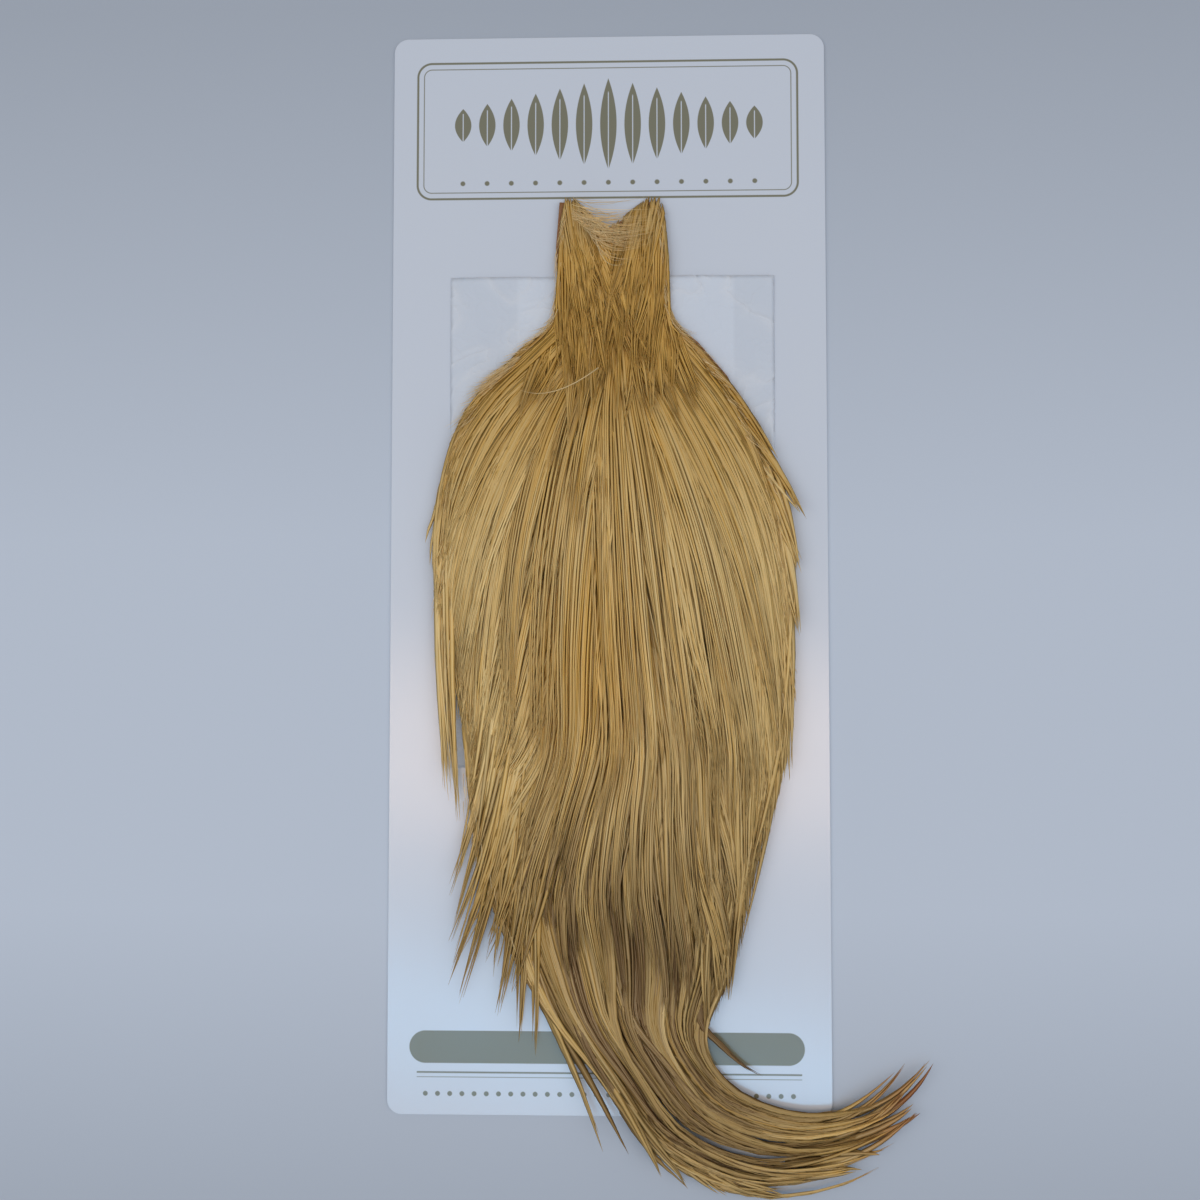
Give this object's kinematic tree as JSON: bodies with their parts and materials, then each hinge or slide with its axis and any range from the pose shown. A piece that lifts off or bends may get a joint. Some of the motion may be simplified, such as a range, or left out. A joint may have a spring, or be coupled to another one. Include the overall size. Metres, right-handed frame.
{
  "type": "rooster cape",
  "caption": "Dried rooster neck skin with long golden-buff hackle feathers, stapled over a paper sheet to a tall white display card, its tail curling past the card's lower edge.",
  "frame": {"origin": "centre of the card's back face, on the surface that the card lies on", "axes": "+X to the right as the card is read, +Y up the card to the head end of the cape, +Z out of the card towards the feathers"},
  "size_m": [0.1851, 0.3997, 0.0176],
  "materials": {
    "coated_card": "white coated board, satin gloss",
    "thin_paper": "thin white paper, slightly translucent, creased",
    "hackle_feather": "golden-buff hackle feathers, soft satin sheen along each feather",
    "staple_wire": "flat galvanised steel wire"
  },
  "bodies": {
    "root": {"card": "coated_card", "backing_sheet": "thin_paper", "cape": "hackle_feather", "staple_neck": "staple_wire", "staple_lower": "staple_wire"}
  },
  "joints": []
}
